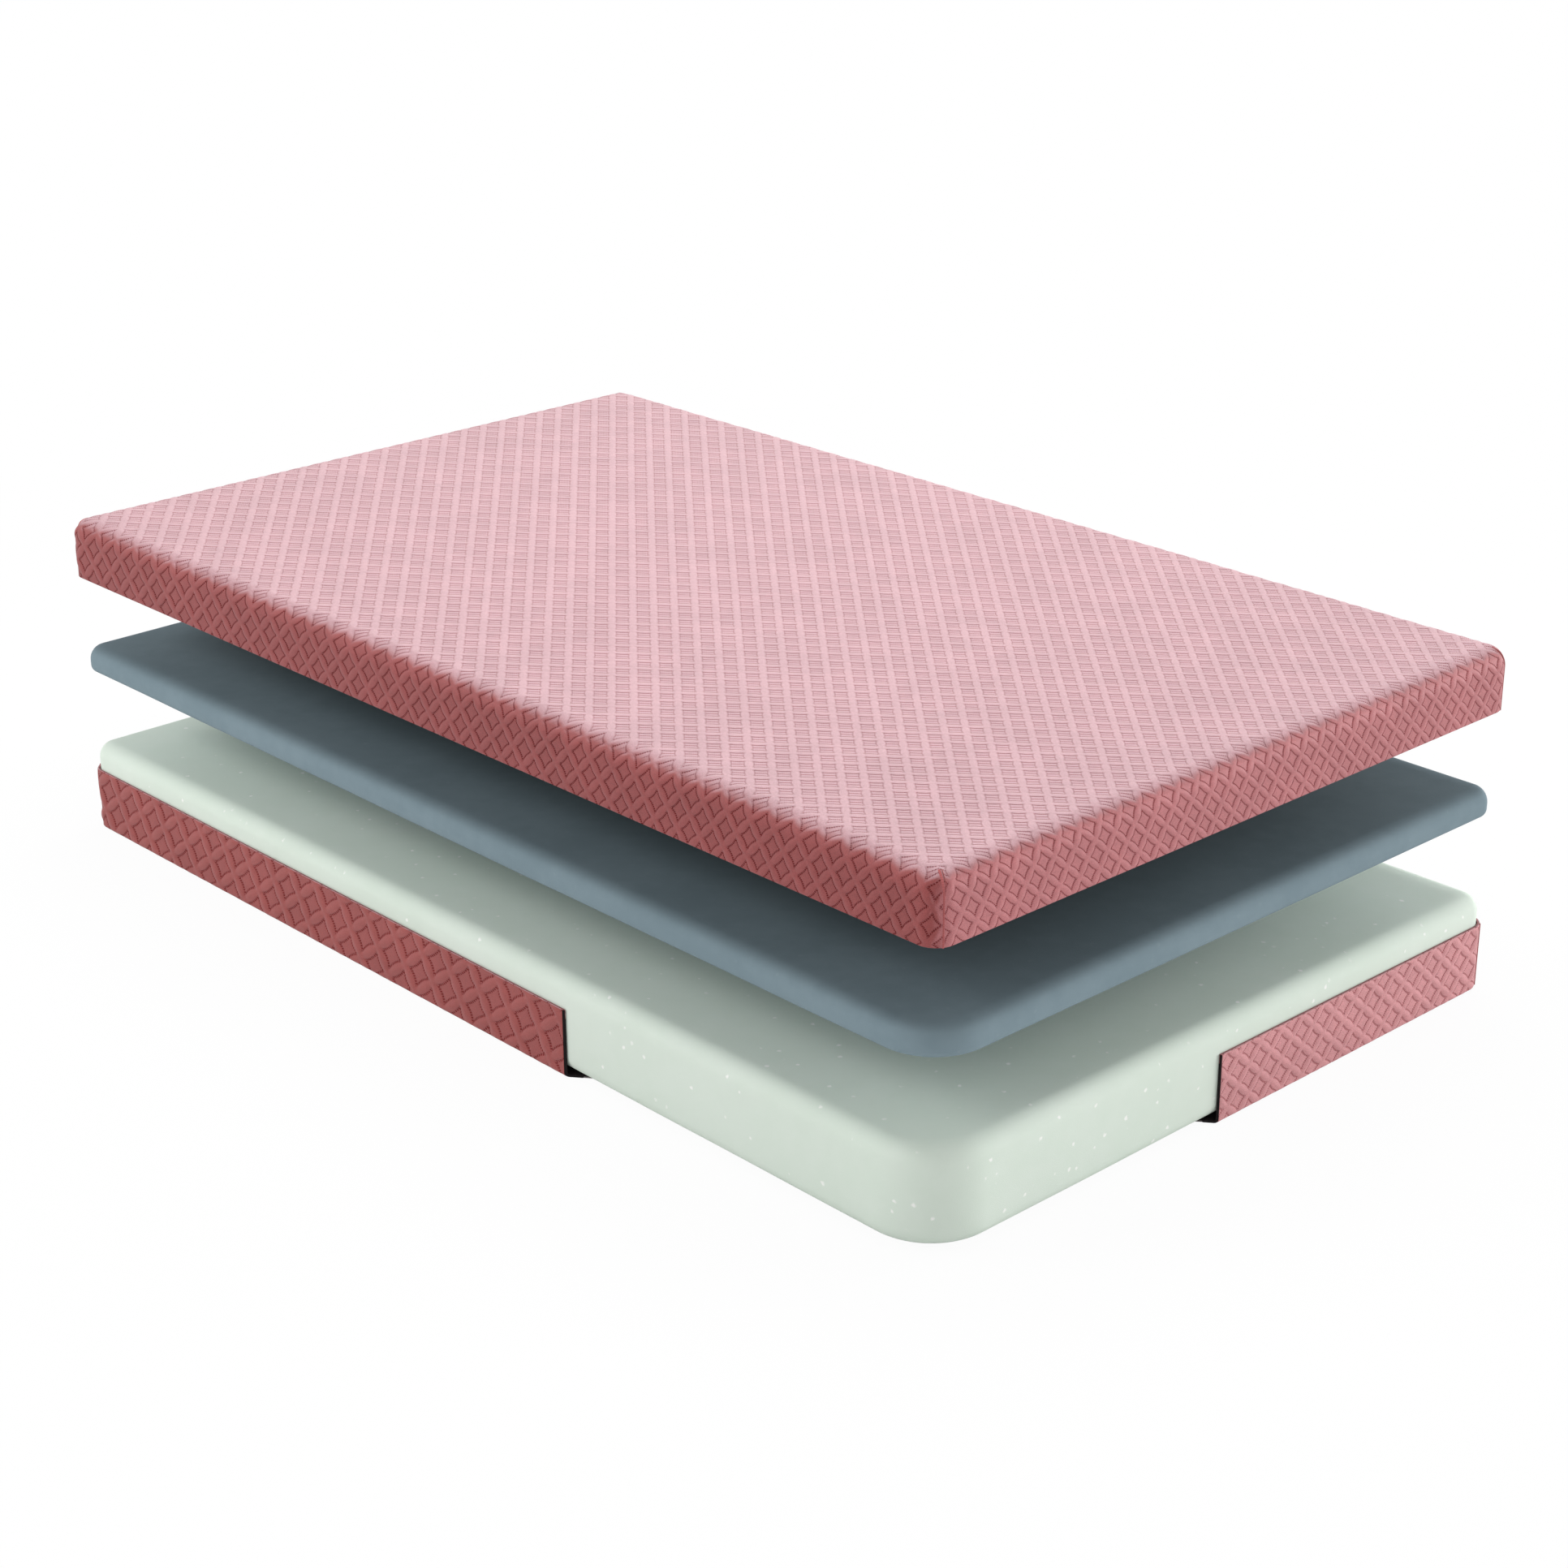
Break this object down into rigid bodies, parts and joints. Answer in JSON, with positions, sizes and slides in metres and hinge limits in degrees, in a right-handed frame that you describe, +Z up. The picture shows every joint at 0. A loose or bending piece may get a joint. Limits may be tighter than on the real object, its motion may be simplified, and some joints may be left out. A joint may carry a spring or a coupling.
{
  "type": "memory foam mattress",
  "caption": "Rectangular foam mattress shown lifted apart: knitted cover top, memory foam layer, foam core and lower cover tray with a cut-away corner.",
  "frame": {"origin": "under the middle of the lower cover tray, on the surface it lies on", "axes": "+X along the mattress, +Y across it, +Z up; the cut-away corner is at +X, -Y"},
  "size_m": [2, 1.2, 0.5483],
  "materials": {
    "knit_cover": "matte",
    "dark_lining": "matte",
    "base_cloth": "matte",
    "memory_foam": "matte",
    "core_foam": "matte",
    "seam_binding": "matte",
    "zip_tape": "matte",
    "zip_coil": "satin",
    "zip_metal": "satin"
  },
  "bodies": {
    "tray": {"base_panel": "base_cloth", "tray_border": "knit_cover", "tray_lining": "dark_lining", "tray_seam_back_left": "seam_binding", "tray_seam_back_right": "seam_binding", "tray_seam_front_left": "seam_binding", "tray_zip_coil": "zip_coil", "tray_zip_tape": "zip_tape", "zip_pull": "zip_metal", "zip_slider": "zip_metal"},
    "core": {"support_core": "core_foam"},
    "memory_foam": {"memory_foam_layer": "memory_foam"},
    "cover": {"top_cover_fabric": "knit_cover", "top_cover_lining": "dark_lining", "top_seam_back_left": "seam_binding", "top_seam_back_right": "seam_binding", "top_seam_front_left": "seam_binding", "top_seam_front_right": "seam_binding", "top_zip_coil": "zip_coil", "top_zip_tape": "zip_tape"}
  },
  "joints": [
    {"name": "core_lift", "type": "slide", "parent": "tray", "child": "core", "axis": [0, 0, 1], "range_m": [0, 0.16]},
    {"name": "foam_lift", "type": "slide", "parent": "core", "child": "memory_foam", "axis": [0, 0, 1], "range_m": [-0.127, 0]},
    {"name": "cover_lift", "type": "slide", "parent": "memory_foam", "child": "cover", "axis": [0, 0, 1], "range_m": [-0.216, 0]}
  ]
}
